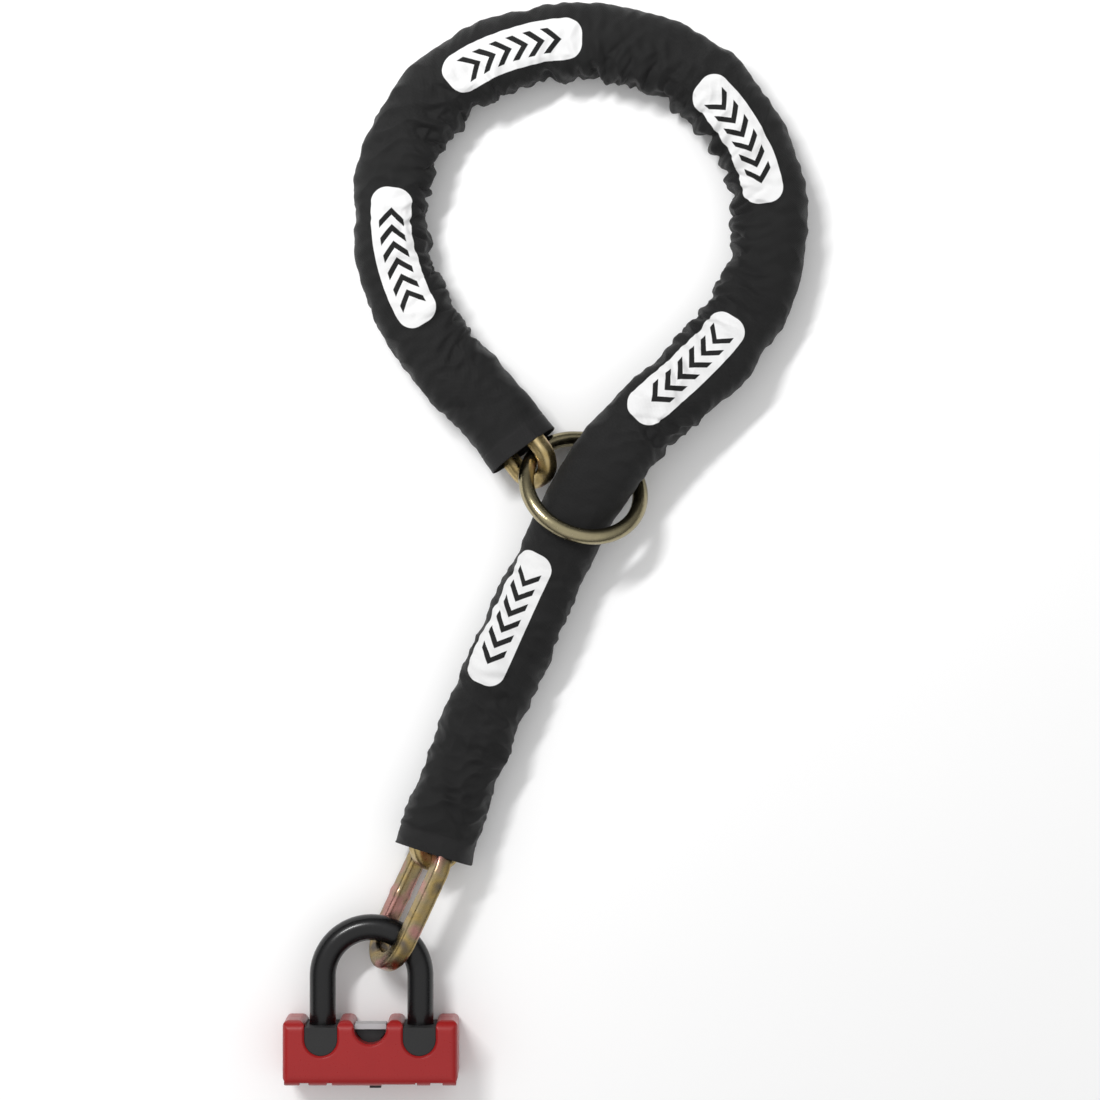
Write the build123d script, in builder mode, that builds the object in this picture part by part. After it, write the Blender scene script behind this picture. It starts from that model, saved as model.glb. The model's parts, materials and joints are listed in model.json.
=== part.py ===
# Chain lock lying flat: a sleeved square-link chain, looped through its own
# end ring, with a U shackle and a two-leg lock body on the free end.
# Millimetres, +Z up, origin at the bottom centre of the whole object.
import math
import os
from build123d import *

os.makedirs("parts", exist_ok=True)

# chain
pitch = 46.7            # distance between the hinge points of a link
link_bar = 10.0         # side of the square bar
link_bar_round = 3.0    # rounding of the bar's edges
link_bar_gauge = 27.0   # distance between the two long bars, centre to centre
hook_depth = 7.0        # how far a link's end bar lies beyond the hinge point
chain_start = (-6.8, 44.83)
# compass of each link in degrees, from the ring round the loop and down the tail
headings = [
    126.5, 135.0, 119.0, 99.0, 75.5, 49.0, 23.0, 3.5, -16.5, -41.5, -64.5,
    -89.0, -114.5, -134.0, -139.5, -125.0, -116.0, -114.7, -113.8, -112.5, -107.5,
]
# height of each hinge point: level loop, a hump over the ring, level tail
level = 18.3
heights = [22.3] + [level] * 13 + [26.4, 32.3, 27.3] + [18.5] * 4 + [21.5]
last_link_roll = -35.0
common_roll = 45.0
crossing_link = 16      # the link inside the ring

# woven sleeve, one short tube per link
sleeve_width = 46.5
sleeve_height = 36.0
sleeve_corner = 13.0
sleeve_wall = 1.2
crossing_width = 37.5   # where the chain is squeezed inside the ring
crossing_height = 33.4
crossing_corner = 11.0
crossing_wall = 0.8
below_ring_width = 41.0
below_ring_height = 34.0
sleeve_gap = 0.4
ring_hem_setback = 13.0
tail_hem_setback = 5.5

# end ring
ring_bar = 9.4
ring_radius = 35.5      # centreline
ring_centre = (21.8, 32.63, 26.15)
ring_compass = -114.2   # level direction in which the ring rises
ring_tilt = 36.5

# end link
end_bar = 10.5
end_bar_round = 2.6
end_gauge = 34.5
end_length = 79.0       # between the centres of its two end bars
end_roll = 64.0
end_hook = 6.5
end_heading = -115.0
end_height = 22.0

# shackle
lock_x = -106.0
lock_mid_z = 21.5
leg_spread = 29.5       # leg centre from the middle of the lock
arch_y = -262.17
shackle_bar = 15.8
shackle_core_bar = 14.4
leg_end_y = -319.22
coat_end_y = -317.22
bolt_y = -309.32

# lock body
body_width = 105.0
body_top = -286.62
body_bottom = -326.12
foot_height = 2.0
body_depth = 43.0
leg_notch_width = 19.8
leg_notch_depth = 21.2
mid_notch_width = 19.6
mid_notch_depth = 14.2
lobe_round = 4.2
foot_round = 0.9
notch_chamfer = 1.3
front_round = 7.0
end_round = 5.0
# feet and long lower edge of the cover: from, to, how far short of the lowest line
feet = [(-51.5, -42.4, 0.0), (-36.9, -26.1, 0.0), (-23.0, 7.0, 0.0),
        (7.0, 27.0, 1.0), (28.0, 36.0, 0.0), (43.3, 51.5, 0.0)]

case_half_width = 46.0
case_top = -302.42
case_bottom = -323.22
case_low = 5.0
case_high = 38.0
tower_half_width = 6.0
tower_top = -293.62
tower_low = 12.0
tower_high = 31.0
fit = 0.3
bore = 16.6

cam_top = -305.32
plug_top = -312.72
plug_end = -323.02
plug_diameter = 14.0
housing_diameter = 20.0
bolt_diameter = 6.6
bolt_inner = 5.1
bolt_outer = 21.3
notch_end = 28.0
screw_shank = 3.0
screw_head = 5.6
screw_head_thick = 2.6
screw_socket = 1.3      # hexagon socket, centre to corner
screw_socket_depth = 1.6
screw_seat = 4.0
screw_tip = 34.0
screw_places = [(lock_x + x, body_top - 9.5) for x in (-46.3, -15.2, 15.2, 46.3)]

seal_fit = 0.1
seal_setback = 1.6      # leg seals stop this far short of the front and back faces
seal_shoulder = 7.0

notch_bar_setback = 4.2
notch_bar_thick = 3.2
notch_bar_low = 22.0
notch_bar_high = 36.0

# keyhole slide: a thin plate with a finger nub, in a pocket below the case
slide_width = 18.0
slide_thick = 1.4
slide_low = 12.2
slide_high = 34.0
nub_shift = 2.8
nub_width = 6.8
nub_height = 4.0
nub_low = 16.5
nub_high = 33.0
pocket_shift = -8.5
pocket_width = 37.0
pocket_thick = 2.2
pocket_play = 0.5
window_shift = -8.0
window_width = 32.0
window_height = 4.0
window_low = 14.5
window_high = 35.0

# lock cylinder
plug_floor = 1.2
keyway = (2.4, 7.0)
keyway_depth = 3.0
disc_count = 4
disc_thick = 1.4
disc_gap = 0.5
disc_diameter = 10.4
disc_gate = 1.6
cam_hub_radius = 4.7
cam_vane = (2.0, 17.2)
cam_thick = 6.9


def hinge_points():
    """Hinge points of the chain, walked from the ring to the end link."""
    points = [Vector(chain_start[0], chain_start[1], heights[0])]
    for heading, low, high in zip(headings, heights, heights[1:]):
        rise = high - low
        run = math.sqrt(pitch**2 - rise**2)
        turn = math.radians(heading)
        points.append(points[-1] + Vector(run * math.cos(turn), run * math.sin(turn), rise))
    return points


def rolled_plane(start, end, roll):
    """Plane midway between two points, X along them, Z turned by the roll."""
    along = (end - start).normalized()
    level_side = Vector(0, 0, 1).cross(along).normalized()
    upright = along.cross(level_side)
    spin = math.radians(roll)
    normal = upright * math.cos(spin) - level_side * math.sin(spin)
    return Plane(origin=(start + end) * 0.5, x_dir=along, z_dir=normal)


def closed_link(plane, length, gauge, bar, edge):
    """Long link with straight sides and half-round ends, swept from square bar."""
    half_straight = (length - gauge) / 2
    side = gauge / 2
    with BuildPart() as made:
        with BuildLine(plane) as loop:
            Line((-half_straight, side), (half_straight, side))
            ThreePointArc((half_straight, side), (half_straight + side, 0), (half_straight, -side))
            Line((half_straight, -side), (-half_straight, -side))
            ThreePointArc((-half_straight, -side), (-half_straight - side, 0), (-half_straight, side))
        corner = plane.from_local_coords((-half_straight, side, 0))
        with BuildSketch(Plane(origin=corner, x_dir=plane.z_dir, z_dir=plane.x_dir)):
            RectangleRounded(bar, bar, edge)
        sweep(path=loop.wire())
    return made


def save(part, label):
    part.label = label
    export_step(part, "parts/" + label + ".step")


joints = hinge_points()
link_count = len(headings)

# chain links
link_length = pitch + 2 * hook_depth
for number in range(1, link_count + 1):
    roll = common_roll if number % 2 == 0 else -common_roll
    if number == link_count:
        roll = last_link_roll
    frame = rolled_plane(joints[number - 1], joints[number], roll)
    link = closed_link(frame, link_length, link_bar_gauge, link_bar, link_bar_round)
    save(link.part, f"link_{number:02d}")

# sleeve tubes, mitred to each other
directions = [(b - a).normalized() for a, b in zip(joints, joints[1:])]
usual_section = (sleeve_width, sleeve_height, sleeve_corner, sleeve_wall)
other_sections = {
    crossing_link: (crossing_width, crossing_height, crossing_corner, crossing_wall),
    crossing_link + 1: (below_ring_width, below_ring_height, sleeve_corner, sleeve_wall),
}
for number in range(1, link_count + 1):
    start, end = joints[number - 1], joints[number]
    along = directions[number - 1]
    width, height, corner, wall = other_sections.get(number, usual_section)
    before = directions[number - 2] if number > 1 else along
    after = directions[number] if number < link_count else along
    start_setback = ring_hem_setback if number == 1 else sleeve_gap / 2
    end_setback = tail_hem_setback if number == link_count else sleeve_gap / 2
    overrun = width
    level_side = Vector(0, 0, 1).cross(along).normalized()
    section = Plane(origin=start - along * overrun, x_dir=level_side, z_dir=along)
    with BuildPart() as sleeve:
        with BuildSketch(section):
            RectangleRounded(width, height, corner)
            RectangleRounded(width - 2 * wall, height - 2 * wall, corner - wall, mode=Mode.SUBTRACT)
        extrude(amount=pitch + 2 * overrun)
        start_normal = (before + along).normalized()
        split(bisect_by=Plane(origin=start + along * start_setback, z_dir=start_normal), keep=Keep.TOP)
        end_normal = (along + after).normalized()
        split(bisect_by=Plane(origin=end - along * end_setback, z_dir=end_normal), keep=Keep.BOTTOM)
    save(sleeve.part, f"sleeve_{number:02d}")

# end ring
rise_way = math.radians(ring_compass)
tilt = math.radians(ring_tilt)
ring_axis = Vector(-math.sin(tilt) * math.cos(rise_way), -math.sin(tilt) * math.sin(rise_way),
                   math.cos(tilt))
with BuildPart() as ring:
    ring_plane = Plane(origin=ring_centre, x_dir=Vector(-math.sin(rise_way), math.cos(rise_way), 0),
                       z_dir=ring_axis)
    with BuildSketch(Plane(origin=ring_centre, x_dir=ring_plane.x_dir, z_dir=-ring_plane.y_dir)):
        with Locations((ring_radius, 0)):
            Circle(ring_bar / 2)
    revolve(axis=Axis(ring_centre, ring_axis), revolution_arc=360)
save(ring.part, "ring")

# end link
end_turn = math.radians(end_heading)
end_way = Vector(math.cos(end_turn), math.sin(end_turn), 0)
last_joint = Vector(joints[-1].X, joints[-1].Y, end_height)
end_top = last_joint - end_way * end_hook
end_frame = rolled_plane(end_top, end_top + end_way * end_length, end_roll)
end_link = closed_link(end_frame, end_length, end_gauge, end_bar, end_bar_round)
save(end_link.part, "end_link")

# shackle: hardened bar and its vinyl coat
flat = Plane(origin=(lock_x, 0, lock_mid_z))


def shackle_path(leg_end):
    """U-shaped centreline, down both legs to the given height."""
    with BuildLine(flat) as path:
        Line((-leg_spread, leg_end), (-leg_spread, arch_y))
        ThreePointArc((-leg_spread, arch_y), (0, arch_y + leg_spread), (leg_spread, arch_y))
        Line((leg_spread, arch_y), (leg_spread, leg_end))
    return path.wire()


def leg_section(leg_end):
    return Plane(origin=(lock_x - leg_spread, leg_end, lock_mid_z), x_dir=(1, 0, 0), z_dir=(0, 1, 0))


with BuildPart() as shackle_core:
    with BuildSketch(leg_section(leg_end_y)):
        Circle(shackle_core_bar / 2)
    sweep(path=shackle_path(leg_end_y))
    # pockets that the two locking bolts enter
    for side in (-1, 1):
        with BuildSketch(Plane(origin=(lock_x + side * (leg_spread - shackle_bar), bolt_y, lock_mid_z),
                               x_dir=(0, 1, 0), z_dir=(side, 0, 0))):
            Circle(bolt_diameter / 2 + fit)
        extrude(amount=notch_end - leg_spread + shackle_bar, mode=Mode.SUBTRACT)
save(shackle_core.part, "shackle_core")

with BuildPart() as shackle_coat:
    with BuildSketch(leg_section(coat_end_y)):
        Circle(shackle_bar / 2)
        Circle(shackle_core_bar / 2, mode=Mode.SUBTRACT)
    sweep(path=shackle_path(coat_end_y))
    for side in (-1, 1):
        with BuildSketch(Plane(origin=(lock_x + side * (leg_spread - shackle_bar), bolt_y, lock_mid_z),
                               x_dir=(0, 1, 0), z_dir=(side, 0, 0))):
            Circle(bolt_diameter / 2 + fit)
        extrude(amount=notch_end - leg_spread + shackle_bar, mode=Mode.SUBTRACT)
save(shackle_coat.part, "shackle_coat")

# lock body: red two-part cover
body_mid_y = (body_top + body_bottom) / 2
body_height = body_top - body_bottom


def cover(low, high):
    """Half of the moulded cover between two heights, notched, hollow for the case."""
    with BuildPart() as made:
        with BuildSketch(Plane.XY.offset(low)) as outline:
            with Locations((lock_x, body_mid_y + foot_height / 2)):
                RectangleRounded(body_width, body_height - foot_height, 4)
            for left, right, short in feet:
                with Locations((lock_x + (left + right) / 2, body_bottom + foot_height + short / 2)):
                    Rectangle(right - left, 2 * foot_height - short)
            for side in (-1, 1):
                notch_y = body_top - leg_notch_depth + leg_notch_width / 2
                with Locations((lock_x + side * leg_spread, notch_y)):
                    Circle(leg_notch_width / 2, mode=Mode.SUBTRACT)
                with Locations((lock_x + side * leg_spread, body_top)):
                    Rectangle(leg_notch_width, 2 * leg_notch_depth - leg_notch_width, mode=Mode.SUBTRACT)
            with Locations((lock_x, body_top - mid_notch_depth + mid_notch_width / 2)):
                Circle(mid_notch_width / 2, mode=Mode.SUBTRACT)
            with Locations((lock_x, body_top)):
                Rectangle(mid_notch_width, 2 * mid_notch_depth - mid_notch_width, mode=Mode.SUBTRACT)
            corners = outline.vertices()
            fillet(corners.filter_by_position(Axis.Y, body_top - 0.01, body_top + 0.01)
                   .filter_by_position(Axis.X, lock_x - 45, lock_x + 45), lobe_round)
            foot_corners = outline.vertices().filter_by_position(Axis.Y, body_bottom - 0.01, body_bottom + 0.01)
            fillet(foot_corners, foot_round)
        extrude(amount=high - low)
        # lighter chamfer along the notch edges of the front face
        if high == body_depth:
            notches = [(lock_x + side * leg_spread, leg_notch_width, leg_notch_depth) for side in (-1, 1)]
            notches.append((lock_x, mid_notch_width, mid_notch_depth))
            for x, width, depth in notches:
                with BuildSketch(Plane.XY.offset(high)):
                    with Locations((x, body_top - depth + width / 2)):
                        Circle(width / 2 + notch_chamfer)
                    with Locations((x, body_top)):
                        Rectangle(width + 2 * notch_chamfer, 2 * depth - width)
                extrude(amount=-notch_chamfer, taper=45, mode=Mode.SUBTRACT)
        # rounded long edges, seen from the end
        with BuildSketch(Plane(origin=(lock_x - body_width / 2 - 1, body_mid_y, body_depth / 2),
                               x_dir=(0, 1, 0), z_dir=(1, 0, 0))):
            RectangleRounded(body_height, body_depth, front_round)
        extrude(amount=body_width + 2, mode=Mode.INTERSECT)
        # rounded ends, seen from above the legs
        with BuildSketch(Plane(origin=(lock_x, body_bottom - 1, body_depth / 2),
                               x_dir=(1, 0, 0), z_dir=(0, 1, 0))):
            RectangleRounded(body_width, body_depth, end_round)
        extrude(amount=body_height + 2, mode=Mode.INTERSECT)
        # hollow for the steel case
        with BuildSketch(Plane.XY.offset(case_low - fit)):
            with Locations((lock_x, (case_top + case_bottom) / 2)):
                Rectangle(2 * case_half_width + 2 * fit, case_top - case_bottom + 2 * fit)
        extrude(amount=case_high - case_low + 2 * fit, mode=Mode.SUBTRACT)
        with BuildSketch(Plane.XY.offset(tower_low - fit)):
            with Locations((lock_x, (tower_top + case_top) / 2)):
                Rectangle(2 * tower_half_width + 2 * fit, tower_top - case_top + 2 * fit)
        extrude(amount=tower_high - tower_low + 2 * fit, mode=Mode.SUBTRACT)
        # pocket for the sliding keyhole cover and the window it is seen through
        with BuildSketch(Plane.XY.offset(slide_low - pocket_play)):
            with Locations((lock_x + pocket_shift, case_bottom - 0.9)):
                Rectangle(pocket_width, pocket_thick)
        extrude(amount=slide_high - slide_low + 2 * pocket_play, mode=Mode.SUBTRACT)
        with BuildSketch(Plane.XY.offset(window_low)):
            with Locations((lock_x + window_shift, body_bottom)):
                Rectangle(window_width, window_height)
        extrude(amount=window_high - window_low, mode=Mode.SUBTRACT)
        # screw holes
        for x, y in screw_places:
            with BuildSketch(Plane.XY):
                with Locations((x, y)):
                    Circle(screw_shank / 2 + 0.1)
            extrude(amount=screw_tip + 0.2, mode=Mode.SUBTRACT)
            with BuildSketch(Plane.XY):
                with Locations((x, y)):
                    Circle(screw_head / 2 + 0.2)
            extrude(amount=screw_seat, mode=Mode.SUBTRACT)
    return made


cover_back = cover(0.0, body_depth / 2)
save(cover_back.part, "cover_back")
cover_front = cover(body_depth / 2, body_depth)
save(cover_front.part, "cover_front")

with BuildPart() as cover_screws:
    for x, y in screw_places:
        with BuildSketch(Plane.XY.offset(screw_seat - screw_head_thick)):
            with Locations((x, y)):
                Circle(screw_head / 2)
        extrude(amount=screw_head_thick)
        with BuildSketch(Plane.XY.offset(screw_seat - screw_head_thick)):
            with Locations((x, y)):
                RegularPolygon(screw_socket, 6)
        extrude(amount=screw_socket_depth, mode=Mode.SUBTRACT)
        with BuildSketch(Plane.XY.offset(screw_seat)):
            with Locations((x, y)):
                Circle(screw_shank / 2)
        extrude(amount=screw_tip - screw_seat)
save(cover_screws.part, "cover_screws")

# steel case with its bores
with BuildPart() as lock_case:
    with BuildSketch(Plane.XY.offset(case_low)):
        with Locations((lock_x, (case_top + case_bottom) / 2)):
            Rectangle(2 * case_half_width, case_top - case_bottom)
    extrude(amount=case_high - case_low)
    # tower that shows dark inside the middle notch
    with BuildSketch(Plane.XY.offset(tower_low)):
        with Locations((lock_x, body_top - mid_notch_depth + mid_notch_width / 2)):
            Circle(mid_notch_width / 2 - 0.4)
        with Locations((lock_x, body_top)):
            Rectangle(mid_notch_width, 2 * (body_top - tower_top), mode=Mode.SUBTRACT)
        with Locations((lock_x, case_top + 2)):
            Rectangle(2 * tower_half_width, 6)
    extrude(amount=tower_high - tower_low)
    for side in (-1, 1):
        with BuildSketch(Plane(origin=(lock_x + side * leg_spread, case_top + 1, lock_mid_z),
                               x_dir=(1, 0, 0), z_dir=(0, -1, 0))):
            Circle(bore / 2)
        extrude(amount=case_top - leg_end_y + 1.6, mode=Mode.SUBTRACT)
    # cross bore for the two bolts
    with BuildSketch(Plane(origin=(lock_x - leg_spread, bolt_y, lock_mid_z),
                           x_dir=(0, 1, 0), z_dir=(1, 0, 0))):
        Circle(bolt_diameter / 2 + fit)
    extrude(amount=2 * leg_spread, mode=Mode.SUBTRACT)
    # lock cylinder seat
    with BuildSketch(Plane(origin=(lock_x, case_bottom - 1, lock_mid_z),
                           x_dir=(1, 0, 0), z_dir=(0, 1, 0))):
        Circle(housing_diameter / 2)
    extrude(amount=cam_top - case_bottom + 1.5, mode=Mode.SUBTRACT)
save(lock_case.part, "lock_case")

# dark collars round the legs
with BuildPart() as leg_seals:
    for side in (-1, 1):
        x = lock_x + side * leg_spread
        y = body_top - leg_notch_depth + leg_notch_width / 2
        with BuildSketch(Plane.XY.offset(seal_setback)):
            with Locations((x, y)):
                Circle(leg_notch_width / 2 - seal_fit)
            with Locations((x, y + seal_shoulder / 2)):
                Rectangle(leg_notch_width - 2 * seal_fit, seal_shoulder)
            with Locations((x, y + seal_shoulder + leg_notch_width / 2)):
                Rectangle(leg_notch_width, leg_notch_width, mode=Mode.SUBTRACT)
        extrude(amount=body_depth - 2 * seal_setback)
    with BuildSketch(Plane.XY.offset(case_low - 0.1)):
        with Locations((lock_x, (case_top + case_bottom) / 2)):
            Rectangle(2 * case_half_width + 2, case_top - case_bottom + 0.1)
    extrude(amount=case_high - case_low + 0.2, mode=Mode.SUBTRACT)
    for side in (-1, 1):
        with BuildSketch(Plane(origin=(lock_x + side * leg_spread, body_top, lock_mid_z),
                               x_dir=(1, 0, 0), z_dir=(0, -1, 0))):
            Circle(bore / 2)
        extrude(amount=case_top - body_bottom, mode=Mode.SUBTRACT)
save(leg_seals.part, "leg_seals")

# pale bar across the middle notch
with BuildPart() as notch_bar:
    with BuildSketch(Plane.XY.offset(notch_bar_low)):
        with Locations((lock_x, body_top - notch_bar_setback)):
            RectangleRounded(mid_notch_width - 0.4, notch_bar_thick, 0.8)
    extrude(amount=notch_bar_high - notch_bar_low)
save(notch_bar.part, "notch_bar")

# lock cylinder
down = Plane(origin=(lock_x, 0, lock_mid_z), x_dir=(1, 0, 0), z_dir=(0, -1, 0))
with BuildPart() as cylinder_housing:
    with BuildSketch(down.offset(-plug_top + 0.2)):
        Circle(housing_diameter / 2)
        Circle(plug_diameter / 2 + fit, mode=Mode.SUBTRACT)
    extrude(amount=plug_top - case_bottom - 0.2)
save(cylinder_housing.part, "cylinder_housing")

with BuildPart() as cylinder_plug:
    with BuildSketch(down.offset(-plug_top)):
        Circle(plug_diameter / 2)
    extrude(amount=plug_top - plug_end)
    with BuildSketch(down.offset(-plug_top + plug_floor)):
        Circle(disc_diameter / 2 + 0.2)
    extrude(amount=plug_top - plug_end - 2 * plug_floor, mode=Mode.SUBTRACT)
    with BuildSketch(down.offset(-plug_end - 2.0)):
        Rectangle(*keyway)
    extrude(amount=keyway_depth, mode=Mode.SUBTRACT)
save(cylinder_plug.part, "cylinder_plug")

with BuildPart() as detainer_discs:
    for index in range(disc_count):
        with BuildSketch(down.offset(-plug_top + 1.6 + index * (disc_thick + disc_gap))):
            Circle(disc_diameter / 2)
            Rectangle(*keyway, mode=Mode.SUBTRACT)
            with Locations(Location((0, 0), 40 + 25 * index)):
                with Locations((disc_diameter / 2, 0)):
                    Rectangle(disc_gate, disc_gate, mode=Mode.SUBTRACT)
        extrude(amount=disc_thick)
save(detainer_discs.part, "detainer_discs")

with BuildPart() as drive_cam:
    with BuildSketch(down.offset(-plug_top - cam_thick - 0.1)):
        Circle(cam_hub_radius)
        Rectangle(*cam_vane)
    extrude(amount=cam_thick)
save(drive_cam.part, "drive_cam")

for side, label in ((-1, "bolt_left"), (1, "bolt_right")):
    with BuildPart() as bolt:
        with BuildSketch(Plane(origin=(lock_x + side * bolt_inner, bolt_y, lock_mid_z),
                               x_dir=(0, 1, 0), z_dir=(side, 0, 0))):
            Circle(bolt_diameter / 2)
        extrude(amount=bolt_outer - bolt_inner)
        chamfer(bolt.faces().sort_by(Axis.X)[-1 if side > 0 else 0].edges(), 0.8)
    save(bolt.part, label)

# sliding keyhole cover
with BuildPart() as keyhole_cover:
    with BuildSketch(Plane.XY.offset(slide_low)):
        with Locations((lock_x, case_bottom - 1.1)):
            Rectangle(slide_width, slide_thick)
    extrude(amount=slide_high - slide_low)
    with BuildSketch(Plane.XY.offset(nub_low)):
        with Locations((lock_x + nub_shift, case_bottom - 2.8)):
            Rectangle(nub_width, nub_height)
    extrude(amount=nub_high - nub_low)
save(keyhole_cover.part, "keyhole_cover")
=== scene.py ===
import json
import math
import bpy
import numpy as np
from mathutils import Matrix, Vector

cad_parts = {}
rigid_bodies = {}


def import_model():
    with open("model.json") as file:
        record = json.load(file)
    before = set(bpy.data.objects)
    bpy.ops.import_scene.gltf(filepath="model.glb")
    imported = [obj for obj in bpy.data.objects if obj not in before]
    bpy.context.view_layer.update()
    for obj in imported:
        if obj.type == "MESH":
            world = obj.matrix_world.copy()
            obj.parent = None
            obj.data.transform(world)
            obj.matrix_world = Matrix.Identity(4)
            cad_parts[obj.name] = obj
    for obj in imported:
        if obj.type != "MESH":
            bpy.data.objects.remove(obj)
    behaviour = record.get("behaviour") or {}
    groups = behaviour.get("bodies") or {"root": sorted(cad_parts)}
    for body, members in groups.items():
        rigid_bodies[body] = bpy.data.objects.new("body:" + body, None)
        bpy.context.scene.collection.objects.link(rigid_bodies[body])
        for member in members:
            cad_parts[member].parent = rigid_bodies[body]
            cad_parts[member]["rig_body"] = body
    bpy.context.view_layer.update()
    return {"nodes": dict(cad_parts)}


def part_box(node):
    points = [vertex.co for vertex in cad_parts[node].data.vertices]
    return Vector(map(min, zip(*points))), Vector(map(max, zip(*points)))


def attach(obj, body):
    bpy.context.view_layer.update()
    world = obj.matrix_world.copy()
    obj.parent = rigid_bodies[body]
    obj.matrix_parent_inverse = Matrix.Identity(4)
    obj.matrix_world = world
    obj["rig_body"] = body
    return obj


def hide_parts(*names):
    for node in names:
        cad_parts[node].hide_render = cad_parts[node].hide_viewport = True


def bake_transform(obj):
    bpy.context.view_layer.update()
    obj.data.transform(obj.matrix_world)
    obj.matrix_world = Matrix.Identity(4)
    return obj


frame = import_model()
millimetre = 0.001
nodes = frame["nodes"]


# where the chain runs

chain = {
    "links": 21,
    "ringEnd": (-6.8, 44.83, 22.3),     # first hinge point, on the ring, mm
    "barSide": 10.0,
    "barEdge": 3.0,
    "gauge": 27.0,                      # between the two long bars of a link
    "hook": 7.0,                        # end bar beyond the hinge point
    "roll": 45.0,
    "lastRoll": -35.0,
    "weld": 0.45,                       # how far the butt weld stands out
}


def nodeMiddle(name):
    low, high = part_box(name)
    return (np.array(low) + np.array(high)) / 2


# the middle of a link is halfway between its two hinge points, so each next
# hinge point is twice the middle minus the last one
linkMiddle = [nodeMiddle(f"link_{i:02d}") for i in range(1, chain["links"] + 1)]
hinge = [np.array(chain["ringEnd"]) * millimetre]
for middle in linkMiddle:
    hinge.append(2 * middle - hinge[-1])
hinge = np.array(hinge)
linkMiddle = np.array(linkMiddle)


def bodyOf(name):
    return nodes[name]["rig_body"]


def unit(v):
    return v / np.maximum(np.linalg.norm(v, axis=-1, keepdims=True), 1e-12)


def meshFromGrid(name, grid, normals=None, wrapRows=False, wrapCols=True, maps=None):
    # grid is rows x cols x 3; neighbours are joined into quads, and a wrapped
    # direction is joined back to its start (its map gets the full last column)
    rows, cols = grid.shape[:2]
    r = np.arange(rows if wrapRows else rows - 1)
    c = np.arange(cols if wrapCols else cols - 1)
    rr, cc = np.meshgrid(r, c, indexing="ij")
    r1 = (rr + 1) % rows
    c1 = (cc + 1) % cols
    quads = np.stack([rr * cols + cc, rr * cols + c1, r1 * cols + c1, r1 * cols + cc], -1).reshape(-1, 4)
    mesh = bpy.data.meshes.new(name)
    mesh.vertices.add(rows * cols)
    mesh.vertices.foreach_set("co", grid.reshape(-1).astype(np.float32))
    mesh.loops.add(quads.size)
    mesh.loops.foreach_set("vertex_index", quads.reshape(-1).astype(np.int32))
    mesh.polygons.add(len(quads))
    mesh.polygons.foreach_set("loop_start", (np.arange(len(quads)) * 4).astype(np.int32))
    mesh.update(calc_edges=True)
    for label, (u, v) in (maps or {}).items():
        layer = mesh.uv_layers.new(name=label)
        right = np.stack([rr, rr, rr + 1, rr + 1], -1)
        across = np.stack([cc, cc + 1, cc + 1, cc], -1)
        uv = np.stack([u[right, across], v[right, across]], -1)
        layer.data.foreach_set("uv", uv.reshape(-1).astype(np.float32))
    mesh.polygons.foreach_set("use_smooth", np.ones(len(quads), bool))
    if normals is not None:
        mesh.normals_split_custom_set_from_vertices(normals.reshape(-1, 3).tolist())
    made = bpy.data.objects.new(name, mesh)
    bpy.context.scene.collection.objects.link(made)
    return made


# materials

def newMaterial(name):
    material = bpy.data.materials.new(name)
    material.use_nodes = True
    tree = material.node_tree
    shader = tree.nodes["Principled BSDF"]
    return material, tree, shader


def mathNode(tree, operation, a, b=None, c=None, clamp=False):
    node = tree.nodes.new("ShaderNodeMath")
    node.operation = operation
    node.use_clamp = clamp
    for socket, value in zip(node.inputs, (a, b, c)):
        if value is None:
            continue
        if isinstance(value, (int, float)):
            socket.default_value = value
        else:
            tree.links.new(value, socket)
    return node.outputs[0]


def rampNode(tree, factor, stops):
    node = tree.nodes.new("ShaderNodeValToRGB")
    ramp = node.color_ramp
    while len(ramp.elements) < len(stops):
        ramp.elements.new(0.5)
    for element, (place, colour) in zip(ramp.elements, stops):
        element.position = place
        element.color = (*colour, 1)
    tree.links.new(factor, node.inputs[0])
    return node.outputs[0]


def mixColour(tree, factor, a, b):
    node = tree.nodes.new("ShaderNodeMix")
    node.data_type = "RGBA"
    for socket, value in ((node.inputs[0], factor), (node.inputs[6], a), (node.inputs[7], b)):
        if isinstance(value, (int, float)):
            socket.default_value = value
        elif isinstance(value, tuple):
            socket.default_value = (*value, 1)
        else:
            tree.links.new(value, socket)
    return node.outputs[2]


def noiseNode(tree, vector, scale, detail=3.0, roughness=0.5, stretch=None):
    if stretch:
        mapping = tree.nodes.new("ShaderNodeMapping")
        mapping.inputs["Scale"].default_value = stretch
        tree.links.new(vector, mapping.inputs[0])
        vector = mapping.outputs[0]
    node = tree.nodes.new("ShaderNodeTexNoise")
    node.inputs["Scale"].default_value = scale
    node.inputs["Detail"].default_value = detail
    node.inputs["Roughness"].default_value = roughness
    tree.links.new(vector, node.inputs["Vector"])
    return node.outputs["Fac"]


def objectSpace(tree):
    return tree.nodes.new("ShaderNodeTexCoord").outputs["Object"]


def bumpNode(tree, shader, height, distance, strength=1.0):
    node = tree.nodes.new("ShaderNodeBump")
    node.inputs["Distance"].default_value = distance
    node.inputs["Strength"].default_value = strength
    tree.links.new(height, node.inputs["Height"])
    tree.links.new(node.outputs[0], shader.inputs["Normal"])
    return node


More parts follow.
